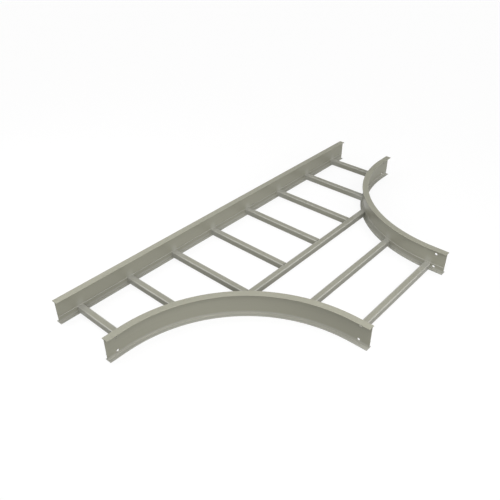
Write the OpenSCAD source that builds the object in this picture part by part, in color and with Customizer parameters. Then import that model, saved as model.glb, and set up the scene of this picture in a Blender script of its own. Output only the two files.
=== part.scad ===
// Cable ladder tee: a ladder run between a straight rail and two curved rails,
// with a wider branch leaving it square to one side. All pieces are aluminium extrusions.

/* [Ladder] */
// Clear width of the run, between the rail webs
run_clear = 300; // [220:10:400]
// Clear width of the branch, between the rail webs
branch_clear = 600; // [540:10:700]
// Bend radius of the curved rails, to the hollow face of the web
bend_radius = 600; // [560:10:680]
// Straight length at each end of a curved rail
end_straight = 71; // [65:1:120]

/* [Rail section] */
// Height of the rails
rail_h = 105; // [98:1:130]
// Thickness of the web
web_t = 4; // [3:0.1:5]
// Thickness of the two flanges
flange_t = 3; // [2.5:0.1:4]
// Reach of the flanges past the web, on the outer side
flange_out = 15.5; // [12:0.5:22]
// Reach of the flanges past the web, on the cable side
flange_in = 10; // [9:0.5:16]
// How far the rung rib stands proud of the web, on the cable side
rib_t = 2; // [1:0.1:4]
// Height of the rung rib, which lies along the rung tops
rib_h = 4; // [2:0.5:8]
// Radius on the top edge of the rung rib
rib_edge_r = 1; // [0.3:0.1:1.5]
// Radius in the corners between the web and the flanges
root_r = 2; // [1:0.5:4]
// Radius on the tips of the flanges
tip_r = 1; // [0.5:0.1:1.2]

/* [Rungs] */
// Width of a rung
rung_w = 28.5; // [22:0.5:32]
// Height of a rung
rung_h = 26.5; // [22:0.5:32]
// Wall of a rung
rung_wall = 2; // [1.5:0.1:3]
// Radius on the top corners of a rung
rung_top_r = 4.5; // [2.5:0.1:6]
// Radius on the bottom corners of a rung
rung_foot_r = 1; // [0.5:0.1:3]
// Spacing of the run rungs
run_pitch = 250; // [230:1:255]
// Spacing of the branch rungs
branch_pitch = 225; // [200:1:240]
// Distance from the branch end to the middle of the last branch rung
last_rung_from_end = 75; // [72:1:110]

/* [Splice holes] */
// Diameter of a splice bolt hole
hole_d = 12; // [8:0.5:14]
// Distance from the rail end to the holes
hole_from_end = 47; // [25:1:50]
// Height of the lower hole
hole_low_z = 18.5; // [14:0.5:22]
// Spacing of the two holes at a rail end, one above the other
hole_spacing = 65; // [40:1:68]

/* [Hidden] */
$fn = 96;
bend_fn = 360;
run_rung_count = 8;
short_branch_rungs = 2;

// Places measured across the rail section, from the middle of the web
web_face = web_t / 2;
rib_face = web_face + rib_t;
tip_out = web_face + flange_out;
tip_in = web_face + flange_in;
rib_edge = min(rib_edge_r, rib_t, rib_h / 2);

// Heights
rung_z = flange_t;
rung_top = rung_z + rung_h;
rib_top = rung_top + rib_h;
flange_z = rail_h - flange_t;

// How far shapes run into each other where they are joined or cut
overlap = flange_t / 2;

// Plan, with the straight rail's web on y = 0 and the branch towards -y
run_w = run_clear + web_t;
branch_w = branch_clear + web_t;
arc_r = bend_radius + web_face;
arc_x = branch_w / 2 + arc_r;
arc_y = -run_w - arc_r;
run_end_x = arc_x + end_straight;
branch_end_y = arc_y - end_straight;
last_rung_y = branch_end_y + last_rung_from_end;
cross_rung_y = last_rung_y + short_branch_rungs * branch_pitch;
cross_rung_back_y = cross_rung_y + rung_w / 2;
first_rung_x = -(run_rung_count - 1) / 2 * run_pitch;
rung_inner_top_r = max(rung_top_r - rung_wall, rung_wall / 4);
rung_inner_foot_r = max(rung_foot_r - rung_wall, rung_wall / 4);
cut_depth = 2 * rung_w;

// Middle of the whole plan, which becomes the origin
plan_mid_y = (branch_end_y + tip_out) / 2;

rail_color = [0.66, 0.655, 0.60];
rung_color = [0.69, 0.685, 0.64];

// Fills an inside corner at the origin with a radius; dx and dy say which way it opens
module corner_fillet(r, dx, dy) {
    low_x = dx > 0 ? 0 : -r;
    low_y = dy > 0 ? 0 : -r;
    difference() {
        translate([low_x, low_y]) square(r);
        translate([dx * r, dy * r]) circle(r);
    }
}

// One flange, lying with its underside on y = 0
module flange_section() {
    translate([-tip_out + tip_r, 0]) square([tip_out + tip_in - 2 * tip_r, flange_t]);
    translate([-tip_out, tip_r]) square([tip_out + tip_in, flange_t - 2 * tip_r]);
    for (x = [-tip_out + tip_r, tip_in - tip_r])
        for (y = [tip_r, flange_t - tip_r])
            translate([x, y]) circle(tip_r);
}

// Section of a rail: x runs to the cable side, y runs up
module rail_section() {
    flange_section();
    translate([0, flange_z]) flange_section();
    translate([-web_face, overlap]) square([web_t, rail_h - 2 * overlap]);
    translate([0, rung_top]) square([rib_face, rib_h - rib_edge]);
    translate([0, rung_top]) square([rib_face - rib_edge, rib_h]);
    translate([rib_face - rib_edge, rib_top - rib_edge]) circle(rib_edge);
    for (side = [-1, 1]) {
        translate([side * web_face, flange_t]) corner_fillet(root_r, side, 1);
        translate([side * web_face, flange_z]) corner_fillet(root_r, side, -1);
    }
}

// Section of what a rail cuts from a rung's end: up to its web, with the lower corner
// bevelled clear of the root radius
module end_cut_section() {
    bevel_low_x = web_face + root_r + flange_t + overlap;
    polygon([
        [-cut_depth, -overlap], [bevel_low_x, -overlap], [web_face, flange_t + root_r],
        [web_face, rail_h], [-cut_depth, rail_h]
    ]);
}

// Sweeps a section along the straight rail
module along_straight() {
    translate([run_end_x, 0, 0]) rotate([90, 0, -90]) linear_extrude(2 * run_end_x) children();
}

// Sweeps a section along the right curved rail: run end, bend, branch end
module along_curve() {
    translate([arc_x, -run_w, 0]) rotate([90, 0, 90]) linear_extrude(end_straight) children();
    translate([arc_x, arc_y, 0]) rotate([0, 0, 90]) rotate_extrude(angle = 90, $fn = bend_fn)
        translate([arc_r, 0]) children();
    translate([branch_w / 2, branch_end_y, 0]) rotate([90, 0, 180])
        linear_extrude(end_straight) children();
}

// What the right curved rail cuts from a rung's end, on its bend and on its two straights
module bend_cut() {
    translate([arc_x, arc_y, 0]) rotate_extrude($fn = bend_fn) translate([arc_r, 0]) end_cut_section();
}

module run_end_cut() {
    translate([arc_x - rung_w, -run_w, 0]) rotate([90, 0, 90])
        linear_extrude(end_straight + rung_w) end_cut_section();
}

module branch_end_cut() {
    translate([branch_w / 2, arc_y + rung_w, 0]) rotate([90, 0, 0])
        linear_extrude(end_straight + rung_w) mirror([1, 0]) end_cut_section();
}

// Leaves a shape on the right, or turns it over to the left
module on_side(side) {
    if (side < 0) mirror([1, 0, 0]) children();
    else children();
}

// The two splice holes of a rail end, along y through a web that stands on y = 0
module splice_holes() {
    for (i = [0, 1])
        translate([0, 0, hole_low_z + i * hole_spacing])
            rotate([90, 0, 0]) cylinder(d = hole_d, h = 2 * tip_out, center = true);
}

module curved_rail() {
    difference() {
        along_curve() rail_section();
        translate([run_end_x - hole_from_end, -run_w, 0]) splice_holes();
        translate([branch_w / 2, branch_end_y + hole_from_end, 0]) rotate([0, 0, 90]) splice_holes();
    }
}

// A rectangle from the origin, with one radius on its bottom corners and another on its top ones
module round_rect(w, h, foot_r, top_r) {
    translate([foot_r, 0]) square([w - 2 * foot_r, h - top_r]);
    translate([0, foot_r]) square([w, h - foot_r - top_r]);
    translate([top_r, foot_r]) square([w - 2 * top_r, h - foot_r]);
    for (x = [foot_r, w - foot_r])
        translate([x, foot_r]) circle(foot_r);
    for (x = [top_r, w - top_r])
        translate([x, h - top_r]) circle(top_r);
}

// A rung tube along +y, of a given length, centred on x = 0 and resting on the bottom flanges
module rung_tube(length) {
    translate([rung_w / 2, 0, rung_z]) rotate([90, 0, 180]) linear_extrude(length) difference() {
        round_rect(rung_w, rung_h, rung_foot_r, rung_top_r);
        translate([rung_wall, rung_wall])
            round_rect(rung_w - 2 * rung_wall, rung_h - 2 * rung_wall, rung_inner_foot_r, rung_inner_top_r);
    }
}

// Where the middle of the right curved rail's web passes a given x or y
function web_y(x) = arc_y + sqrt(pow(arc_r, 2) - pow(arc_x - min(x, arc_x), 2));
function web_x(y) = arc_x - sqrt(pow(arc_r, 2) - pow(max(y, arc_y) - arc_y, 2));

// A run rung at its place along the run, from the straight rail to what ends it.
// It is coped to a bend, and cut square on a straight or across the start of a bend.
module run_rung(index) {
    x = first_rung_x + index * run_pitch;
    on_cross_rung = abs(x) < web_x(cross_rung_back_y);
    on_bend = abs(x) + rung_w / 2 < arc_x;
    far_y = on_cross_rung ? cross_rung_back_y : web_y(abs(x) - rung_w / 2);
    color(rung_color) translate([0, -plan_mid_y, 0]) difference() {
        translate([x, far_y, 0]) rung_tube(-far_y);
        along_straight() end_cut_section();
        if (!on_cross_rung && on_bend) on_side(sign(x)) bend_cut();
        if (!on_cross_rung && !on_bend) on_side(sign(x)) run_end_cut();
    }
}

// A rung across the branch, from one curved rail to the other
module branch_rung(y) {
    on_bend = y - rung_w / 2 > arc_y;
    reach = web_x(y + rung_w / 2);
    color(rung_color) translate([0, -plan_mid_y, 0]) difference() {
        translate([reach, y, 0]) rotate([0, 0, 90]) rung_tube(2 * reach);
        for (side = [-1, 1])
            on_side(side) {
                if (on_bend) bend_cut();
                else branch_end_cut();
            }
    }
}

module straight_rail() {
    color(rail_color) translate([0, -plan_mid_y, 0]) along_straight() rail_section();
}

module right_curved_rail() {
    color(rail_color) translate([0, -plan_mid_y, 0]) curved_rail();
}

module left_curved_rail() {
    color(rail_color) translate([0, -plan_mid_y, 0]) on_side(-1) curved_rail();
}

straight_rail();
left_curved_rail();
right_curved_rail();
for (i = [0 : run_rung_count - 1])
    run_rung(i);
branch_rung(cross_rung_y);  // cross_rung
branch_rung(last_rung_y + branch_pitch);  // branch_rung_1
branch_rung(last_rung_y);  // branch_rung_2
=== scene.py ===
# A cable ladder tee: aluminium rails and rungs, welded into one fitting, lying on a pale studio floor.
import math

import bmesh
import bpy
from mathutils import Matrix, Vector


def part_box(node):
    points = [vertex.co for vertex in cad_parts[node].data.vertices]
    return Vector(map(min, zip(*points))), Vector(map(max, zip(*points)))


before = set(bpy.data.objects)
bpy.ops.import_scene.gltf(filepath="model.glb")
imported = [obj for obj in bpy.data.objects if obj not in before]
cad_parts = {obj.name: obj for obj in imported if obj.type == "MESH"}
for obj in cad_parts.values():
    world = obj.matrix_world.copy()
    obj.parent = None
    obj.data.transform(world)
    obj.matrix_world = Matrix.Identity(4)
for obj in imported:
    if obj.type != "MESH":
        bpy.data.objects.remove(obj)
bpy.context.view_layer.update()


# Straight rail
# The back side rail: an aluminium I-section, pressed through a die and sawn off square at both ends. It is
# satin, with faint die lines along it and saw marks on its ends. Painted light brightens its bottom flange
# and the foot of its web against the shade in that corner, a painted highlight runs along the rung rib, and a
# painted reflection of each rung lies on the web beside it.

flange_in = 0.010
run_pitch = 0.25
rung_half = 0.01425
straight_cable_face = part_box("straight_rail")[0].y + flange_in
straight_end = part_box("straight_rail")[1].x

rail_colour = (0.330, 0.325, 0.264, 1.0)
rail_roughness = 0.32
# The paler colour of the painted highlights, painted reflections and painted light on the rails and rungs
painted_light_colour = (0.420, 0.418, 0.375, 1.0)
metal_share = 0.09
gloss = 0.12

# The patterns in the finish: spots in a metre along the extrusion and across it, and levels of detail
die_lines_spots = (0.7, 700.0, 3.0)
die_bands_spots = (0.4, 90.0, 2.0)
clouds_spots = (5.0, 16.0, 3.0)
saw_marks_spots = (900.0, 420.0, 2.0)
noise_middle = (0.3, 0.7)

# How far each pattern sways the tone and the roughness
die_lines_tone = 0.015
die_bands_tone = 0.015
clouds_tone = 0.01
die_lines_roughness = 0.02
clouds_roughness = 0.015
saw_roughness = 0.15
saw_cut_depth = 0.0004
relief_strength = 0.04
relief_depth = 0.0002

# Where the painted light lies on the rail: each pair says where that begins and where it is full
# Painted light on the bottom flange and the foot of the web, which lifts the shade in the corner between them
flange_light_z = (0.0040, 0.0031)
flange_light = 0.9
foot_low_z = (0.0045, 0.0068)
foot_high_z = (0.0200, 0.0068)
# Painted highlight along the top edge of the rung rib
rib_highlight_z = (0.0310, 0.0325)
rib_top_z = 0.0345
face_margin = 0.0003
# Painted reflection of each rung on the web beside it: a light streak above the rung end
web_reflection_z = (0.075, 0.033)
web_reflection_beside = 0.012
web_reflection = 0.6


def math_node(tree, operation, *values):
    """A Math node whose inputs are sockets or plain numbers; gives its result."""
    node = tree.nodes.new("ShaderNodeMath")
    node.operation = operation
    for socket, value in zip(node.inputs, values):
        if isinstance(value, bpy.types.NodeSocket):
            tree.links.new(value, socket)
        else:
            socket.default_value = value
    return node.outputs[0]


def folded(tree, operation, first, *others):
    """One operation over several values, such as the product or the largest of them."""
    for other in others:
        first = math_node(tree, operation, first, other)
    return first


def stretched_noise(tree, place, spots):
    """Noise drawn out along an extrusion."""
    along, across, detail = spots
    mapping = tree.nodes.new("ShaderNodeMapping")
    mapping.inputs["Scale"].default_value = (along, across, across)
    tree.links.new(place, mapping.inputs["Vector"])
    noise = tree.nodes.new("ShaderNodeTexNoise")
    noise.inputs["Scale"].default_value = 1.0
    noise.inputs["Detail"].default_value = detail
    tree.links.new(mapping.outputs["Vector"], noise.inputs["Vector"])
    return noise.outputs["Fac"]


def swayed(tree, noise, middle, sway):
    """Spreads the useful middle of a noise over a middle value, less and plus its sway."""
    node = tree.nodes.new("ShaderNodeMapRange")
    node.inputs["From Min"].default_value = noise_middle[0]
    node.inputs["From Max"].default_value = noise_middle[1]
    node.inputs["To Min"].default_value = middle - sway
    node.inputs["To Max"].default_value = middle + sway
    tree.links.new(noise, node.inputs["Value"])
    return node.outputs["Result"]


def ramp(tree, value, start, stop):
    """Goes smoothly from 0 at start to 1 at stop."""
    node = tree.nodes.new("ShaderNodeMapRange")
    node.interpolation_type = "SMOOTHSTEP"
    node.inputs["From Min"].default_value = start
    node.inputs["From Max"].default_value = stop
    tree.links.new(value, node.inputs["Value"])
    return node.outputs["Result"]


def object_place(tree):
    """The separate X, Y and Z of the part's own coordinates."""
    coordinates = tree.nodes.new("ShaderNodeTexCoord")
    parts = tree.nodes.new("ShaderNodeSeparateXYZ")
    tree.links.new(coordinates.outputs["Object"], parts.inputs["Vector"])
    return parts.outputs


def joined(tree, along, across, up):
    """The way along, across and up an extrusion, as one vector."""
    node = tree.nodes.new("ShaderNodeCombineXYZ")
    for socket, value in zip(node.inputs, (along, across, up)):
        tree.links.new(value, socket)
    return node.outputs["Vector"]


def off_nearest(tree, value, pitch):
    """The way to the nearest middle of a row of like pieces, which starts half a pitch either side of 0."""
    turns = math_node(tree, "FRACT", math_node(tree, "DIVIDE", value, pitch))
    off_middle = math_node(tree, "ABSOLUTE", math_node(tree, "SUBTRACT", turns, 0.5))
    return math_node(tree, "MULTIPLY", off_middle, pitch)


def rail_painted_light(tree, off_web, off_rung):
    """How strongly a rail is brightened by painted light: on its bottom flange and foot against the shade in
    that corner, as a painted highlight on its rung rib, and as a painted reflection of a rung on the web
    beside it.
    off_web is the reach past the web on the cable side, off_rung the way from the middle of a rung."""
    z = object_place(tree)[2]
    flange = math_node(tree, "MULTIPLY", ramp(tree, z, *flange_light_z), flange_light)
    foot = math_node(tree, "MULTIPLY", ramp(tree, z, *foot_low_z), ramp(tree, z, *foot_high_z))
    past_web = math_node(tree, "GREATER_THAN", off_web, face_margin)
    under_rib_top = math_node(tree, "LESS_THAN", z, rib_top_z)
    rib = folded(tree, "MULTIPLY", ramp(tree, z, *rib_highlight_z), under_rib_top, past_web)
    on_cable_side = math_node(tree, "GREATER_THAN", off_web, -face_margin)
    beside_rung = ramp(tree, off_rung, rung_half + web_reflection_beside, rung_half - web_reflection_beside)
    joint_painted_light = folded(tree, "MULTIPLY", beside_rung, ramp(tree, z, *web_reflection_z), on_cable_side, web_reflection)
    return folded(tree, "MAXIMUM", flange, foot, rib, joint_painted_light)


def mill_finish(name, colour, roughness, place_of, painted_light_of, sawn_of=None):
    """Satin extruded aluminium. place_of gives the way along, across and up the extrusion, the next argument
    how strongly painted light brightens it, and sawn_of where it is sawn."""
    material = bpy.data.materials.new(name)
    material.use_nodes = True
    tree = material.node_tree
    shader = tree.nodes["Principled BSDF"]
    shader.inputs["Metallic"].default_value = metal_share
    shader.inputs["Specular IOR Level"].default_value = gloss
    place = place_of(tree)
    die_lines = stretched_noise(tree, place, die_lines_spots)
    die_bands = stretched_noise(tree, place, die_bands_spots)
    clouds = stretched_noise(tree, place, clouds_spots)

    tone = folded(
        tree, "MULTIPLY", swayed(tree, die_lines, 1.0, die_lines_tone),
        swayed(tree, die_bands, 1.0, die_bands_tone), swayed(tree, clouds, 1.0, clouds_tone))
    # Painted light: the colour turns paler where the painted highlights, reflections and lifted shade lie
    painted_light_mix = tree.nodes.new("ShaderNodeMix")
    painted_light_mix.data_type = "RGBA"
    painted_light_mix.inputs["A"].default_value = colour
    painted_light_mix.inputs["B"].default_value = painted_light_colour
    tree.links.new(painted_light_of(tree), painted_light_mix.inputs["Factor"])
    tint = tree.nodes.new("ShaderNodeVectorMath")
    tint.operation = "SCALE"
    tree.links.new(painted_light_mix.outputs["Result"], tint.inputs[0])
    tree.links.new(tone, tint.inputs["Scale"])
    tree.links.new(tint.outputs["Vector"], shader.inputs["Base Color"])

    rough = math_node(
        tree, "ADD", swayed(tree, die_lines, roughness, die_lines_roughness),
        swayed(tree, clouds, 0.0, clouds_roughness))
    relief = die_lines
    if sawn_of:
        sawn = sawn_of(tree)
        saw_marks = stretched_noise(tree, place, saw_marks_spots)
        rough = math_node(tree, "MULTIPLY_ADD", sawn, saw_roughness, rough)
        relief = math_node(tree, "MULTIPLY_ADD", sawn, saw_marks, relief)
    tree.links.new(rough, shader.inputs["Roughness"])
    bump = tree.nodes.new("ShaderNodeBump")
    bump.inputs["Strength"].default_value = relief_strength
    bump.inputs["Distance"].default_value = relief_depth
    tree.links.new(relief, bump.inputs["Height"])
    tree.links.new(bump.outputs["Normal"], shader.inputs["Normal"])
    return material


def straight_place(tree):
    """Along a piece that lies along X."""
    x, y, z = object_place(tree)
    return joined(tree, x, y, z)


def straight_sawn(tree):
    """1 on the two sawn ends of the straight rail."""
    x = object_place(tree)[0]
    return math_node(tree, "GREATER_THAN", math_node(tree, "ABSOLUTE", x), straight_end - saw_cut_depth)


def straight_painted_light(tree):
    """How strongly the straight rail is brightened by painted light."""
    x, y = object_place(tree)[:2]
    off_web = math_node(tree, "SUBTRACT", straight_cable_face, y)
    return rail_painted_light(tree, off_web, off_nearest(tree, x, run_pitch))


straight_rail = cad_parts["straight_rail"]
straight_rail.data.materials[0] = mill_finish(
    "straight_rail_finish", rail_colour, rail_roughness, straight_place, straight_painted_light, straight_sawn)


# Curved rails
# The two side rails that turn from the run into the branch: the same extrusion, bent round a quarter turn.
# The die lines follow the bend, and the splice holes are drilled near both sawn ends.

end_straight = 0.071
bend_r = 0.602
web_half = 0.002
curve_low, curve_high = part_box("right_curved_rail")
bend_x = curve_high.x - end_straight
bend_y = curve_low.y + end_straight
curved_cable_face = bend_r + web_half
branch_pitch = 0.225
cross_rung_y = (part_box("cross_rung")[0].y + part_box("cross_rung")[1].y) / 2

# The run rungs past this x end on the curved rails, the others on the cross rung
run_rungs_past_x = 0.5


def curved_place(tree):
    """Along a curved rail: up its branch end, round its bend and out along its run end."""
    x, y, z = object_place(tree)
    out = math_node(tree, "SUBTRACT", bend_x, math_node(tree, "ABSOLUTE", x))
    up_run = math_node(tree, "SUBTRACT", y, bend_y)
    out_on_bend = math_node(tree, "MAXIMUM", out, 0.0)
    up_on_bend = math_node(tree, "MAXIMUM", up_run, 0.0)
    out_squared = math_node(tree, "POWER", out_on_bend, 2.0)
    up_squared = math_node(tree, "POWER", up_on_bend, 2.0)
    radius = math_node(tree, "SQRT", math_node(tree, "ADD", out_squared, up_squared))
    turn = math_node(tree, "MULTIPLY", math_node(tree, "ARCTAN2", up_on_bend, out_on_bend), bend_r)
    past_run = math_node(tree, "MINIMUM", out, 0.0)
    past_branch = math_node(tree, "MINIMUM", up_run, 0.0)
    along = math_node(tree, "ADD", math_node(tree, "SUBTRACT", turn, past_run), past_branch)
    return joined(tree, along, radius, z)


def curved_sawn(tree):
    """1 on the sawn run end and branch end of a curved rail."""
    x, y = object_place(tree)[:2]
    at_run = math_node(tree, "GREATER_THAN", math_node(tree, "ABSOLUTE", x), curve_high.x - saw_cut_depth)
    at_branch = math_node(tree, "LESS_THAN", y, curve_low.y + saw_cut_depth)
    return math_node(tree, "MAXIMUM", at_run, at_branch)


def off_curved_web(tree):
    """The way from the cable side of the nearer curved rail's web."""
    parts = tree.nodes.new("ShaderNodeSeparateXYZ")
    tree.links.new(curved_place(tree), parts.inputs["Vector"])
    return math_node(tree, "SUBTRACT", parts.outputs["Y"], curved_cable_face)


def off_branch_rung(tree):
    """The way from the middle of the nearest rung across the branch."""
    y = object_place(tree)[1]
    return off_nearest(tree, math_node(tree, "SUBTRACT", y, cross_rung_y - branch_pitch / 2), branch_pitch)


def curved_painted_light(tree):
    """How strongly a curved rail is brightened by painted light. Where no rung comes, the way to one is a
    metre longer.
    """
    x, y = object_place(tree)[:2]
    no_run_rung = math_node(tree, "LESS_THAN", math_node(tree, "ABSOLUTE", x), run_rungs_past_x)
    no_branch_rung = math_node(tree, "GREATER_THAN", y, cross_rung_y + branch_pitch / 2)
    off_run = math_node(tree, "ADD", off_nearest(tree, x, run_pitch), no_run_rung)
    off_branch = math_node(tree, "ADD", off_branch_rung(tree), no_branch_rung)
    return rail_painted_light(tree, off_curved_web(tree), math_node(tree, "MINIMUM", off_run, off_branch))


# The curved rails carry the same painted light on flange and foot, painted highlight on the rib and painted
# reflections of the rungs
curved_finish = mill_finish(
    "curved_rail_finish", rail_colour, rail_roughness, curved_place, curved_painted_light, curved_sawn)
for side in ("left", "right"):
    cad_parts[f"{side}_curved_rail"].data.materials[0] = curved_finish


# Run rungs
# Eight box tubes with round top edges, square to the straight rail, cut to length and welded to the rail
# webs under their ribs. The four middle ones end on the cross rung. A painted highlight runs along their top
# edges, and painted light brightens their ends at the rails against the shade that the webs throw there.

run_rung_count = 8
rung_colour = (0.302, 0.297, 0.246, 1.0)
rung_roughness = 0.32
# Painted highlight along the round top edges of the rungs
edge_highlight = 0.9
edge_off_middle = (0.0085, 0.0105)
edge_z = (0.0255, 0.0280)
# Painted light at the rung ends near the webs, which lifts the shade that the webs throw on them
end_painted_light = 0.95
end_painted_light_reach = 0.1


def run_rung_place(tree):
    """Along a piece that lies along Y."""
    x, y, z = object_place(tree)
    return joined(tree, y, x, z)


def rung_painted_light(tree, off_middle, off_web):
    """How strongly a rung is brightened by painted light: a painted highlight on its round top edges, and
    painted light near a web against the shade that the web throws there.
    """
    z = object_place(tree)[2]
    edge = folded(
        tree, "MULTIPLY", ramp(tree, off_middle, *edge_off_middle), ramp(tree, z, *edge_z), edge_highlight)
    joint_painted_light = math_node(tree, "MULTIPLY", ramp(tree, off_web, end_painted_light_reach, 0.0), end_painted_light)
    return math_node(tree, "MAXIMUM", edge, joint_painted_light)


def run_rung_painted_light(tree):
    """How strongly a run rung is brightened by painted light."""
    x, y = object_place(tree)[:2]
    off_straight = math_node(tree, "SUBTRACT", straight_cable_face, y)
    off_web = math_node(tree, "MINIMUM", off_straight, off_curved_web(tree))
    return rung_painted_light(tree, off_nearest(tree, x, run_pitch), off_web)


run_rung_finish = mill_finish(
    "run_rung_finish", rung_colour, rung_roughness, run_rung_place, run_rung_painted_light)
for number in range(1, run_rung_count + 1):
    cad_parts[f"run_rung_{number}"].data.materials[0] = run_rung_finish


# Branch rungs
# The long cross rung and two shorter rungs, of the same box tube. Their ends are cut to fit the curved rails,
# seated on the bottom flanges and welded to the webs.


def branch_rung_painted_light(tree):
    """How strongly a rung across the branch is brightened by painted light."""
    return rung_painted_light(tree, off_branch_rung(tree), off_curved_web(tree))


# The branch rungs carry the same painted highlight on their top edges and painted light near the webs
branch_rung_finish = mill_finish(
    "branch_rung_finish", rung_colour, rung_roughness, straight_place, branch_rung_painted_light)
for name in ("cross_rung", "branch_rung_1", "branch_rung_2"):
    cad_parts[name].data.materials[0] = branch_rung_finish


# Studio floor
# A wide sheet of plain white that the fitting lies on, with the soft shadow that it throws. It looks white,
# also mirrored in the metal, and sends little light back up at the fitting.

floor_size = 30.0
floor_drop = 0.0003
floor_seen = 1.0
floor_bounce = 0.08
floor_own_light = 0.85
white = (1.0, 1.0, 1.0, 1.0)


def seen_by_eye(tree):
    """1 for what the camera sees, directly or mirrored in the metal; 0 for scattered light."""
    rays = tree.nodes.new("ShaderNodeLightPath").outputs
    return folded(
        tree, "MAXIMUM", rays["Is Glossy Ray"], rays["Is Transmission Ray"], rays["Is Camera Ray"])


floor_mesh = bpy.data.meshes.new("floor")
sheet = bmesh.new()
bmesh.ops.create_grid(sheet, x_segments=1, y_segments=1, size=floor_size)
bmesh.ops.translate(sheet, verts=sheet.verts, vec=(0.0, 0.0, -floor_drop))
sheet.to_mesh(floor_mesh)
sheet.free()
floor = bpy.data.objects.new("floor", floor_mesh)
bpy.context.scene.collection.objects.link(floor)

floor_finish = bpy.data.materials.new("floor_white")
floor_finish.use_nodes = True
floor_tree = floor_finish.node_tree
floor_tree.nodes.remove(floor_tree.nodes["Principled BSDF"])
floor_matt = floor_tree.nodes.new("ShaderNodeBsdfDiffuse")
floor_glow = floor_tree.nodes.new("ShaderNodeEmission")
floor_glow.inputs["Color"].default_value = white
floor_mix = floor_tree.nodes.new("ShaderNodeMixShader")
floor_output = floor_tree.nodes["Material Output"]
seen_white = seen_by_eye(floor_tree)
own_light = math_node(floor_tree, "MULTIPLY", seen_white, floor_own_light)
paleness = math_node(floor_tree, "MULTIPLY_ADD", seen_white, floor_seen - floor_bounce, floor_bounce)
floor_tree.links.new(own_light, floor_mix.inputs["Fac"])
floor_tree.links.new(paleness, floor_matt.inputs["Color"])
floor_tree.links.new(floor_matt.outputs["BSDF"], floor_mix.inputs[1])
floor_tree.links.new(floor_glow.outputs["Emission"], floor_mix.inputs[2])
floor_tree.links.new(floor_mix.outputs["Shader"], floor_output.inputs["Surface"])
floor_mesh.materials.append(floor_finish)


# Studio light
# A white tent with a dim top. Broad low glows stand at the front, to both sides of it and behind, a weaker
# one by the camera and a small strong one high on the right. Soft lamps hang over the branch, before it and
# behind the straight rail's left end.

# Each glow: its strength, the way to its middle, and the degrees from there at which it begins and is full
front_glow = (1.26, (235.0, 15.0), (75.0, 0.0))
front_left_glow = (0.8, (180.0, 15.0), (50.0, 0.0))
front_right_glow = (0.98, (300.0, 15.0), (50.0, 0.0))
camera_glow = (0.31, (225.0, 45.0), (40.0, 0.0))
side_glow = (4.9, (20.0, 62.0), (20.0, 5.0))
low_back_glow = (0.5, (90.0, 12.0), (70.0, 0.0))

# The tent's white skirt fades out between these degrees above the floor
skirt_top = (14.0, 22.0)

# Each lamp: its watts, its place and the point that it is turned to
lamp_size = 1.0
branch_lamp = (4.9, Vector((-0.5, -0.6, 1.2)), Vector((-0.3, -0.36, 0.05)))
front_lamp = (2.4, Vector((-0.2, -1.3, 0.8)), Vector((-0.12, -0.78, 0.05)))
rail_lamp = (8.6, Vector((-1.0, 1.2, 1.2)), Vector((-0.6, 0.72, 0.05)))

world = bpy.data.worlds.new("studio")
world.use_nodes = True
bpy.context.scene.world = world
sky = world.node_tree
sky_way = sky.nodes.new("ShaderNodeTexCoord").outputs["Generated"]


def towards(azimuth, height):
    """A direction, from degrees round from +X and degrees above the floor."""
    a, h = math.radians(azimuth), math.radians(height)
    return Vector((math.cos(h) * math.cos(a), math.cos(h) * math.sin(a), math.sin(h)))


def glow(direction, spread):
    """Rises from 0 to 1 as the way looked in comes closer to a direction."""
    dot = sky.nodes.new("ShaderNodeVectorMath")
    dot.operation = "DOT_PRODUCT"
    sky.links.new(sky_way, dot.inputs[0])
    dot.inputs[1].default_value = direction
    return ramp(sky, dot.outputs["Value"], *(math.cos(math.radians(degrees)) for degrees in spread))


sky_light = 0.0
for strength, way, spread in (
        front_glow, front_left_glow, front_right_glow, camera_glow, side_glow, low_back_glow):
    sky_light = math_node(sky, "MULTIPLY_ADD", glow(towards(*way), spread), strength, sky_light)
sky_height = sky.nodes.new("ShaderNodeSeparateXYZ")
sky.links.new(sky_way, sky_height.inputs["Vector"])
skirt_full, skirt_gone = (math.sin(math.radians(height)) for height in skirt_top)
skirt = ramp(sky, sky_height.outputs["Z"], skirt_gone, skirt_full)
sky_light = math_node(sky, "MULTIPLY_ADD", skirt, seen_by_eye(sky), sky_light)
sky.links.new(sky_light, sky.nodes["Background"].inputs["Strength"])
sky.nodes["Background"].inputs["Color"].default_value = white

for name, (power, place, aim) in (
        ("branch_lamp", branch_lamp), ("front_lamp", front_lamp), ("rail_lamp", rail_lamp)):
    lamp_data = bpy.data.lights.new(name, "AREA")
    lamp_data.shape = "DISK"
    lamp_data.size = lamp_size
    lamp_data.energy = power
    lamp = bpy.data.objects.new(name, lamp_data)
    lamp.location = place
    lamp.rotation_euler = (aim - place).to_track_quat("-Z", "Y").to_euler()
    lamp.visible_camera = False
    bpy.context.scene.collection.objects.link(lamp)


# Camera
# It stands above the near left end of the run and looks down across the fitting. Its place, aim and lens
# were fitted to the edges in the photo.

camera_place = Vector((-1.7248, -1.1615, 1.4899))
camera_aim = Vector((-0.1129, 0.2523, 0.0))
camera_lens = 40.79
camera_film = 36.0

camera_data = bpy.data.cameras.new("camera")
camera_data.lens = camera_lens
camera_data.sensor_width = camera_film
camera = bpy.data.objects.new("camera", camera_data)
camera.location = camera_place
camera.rotation_euler = (camera_aim - camera_place).to_track_quat("-Z", "Y").to_euler()
bpy.context.scene.collection.objects.link(camera)
bpy.context.scene.camera = camera
bpy.context.scene.view_settings.view_transform = "Standard"
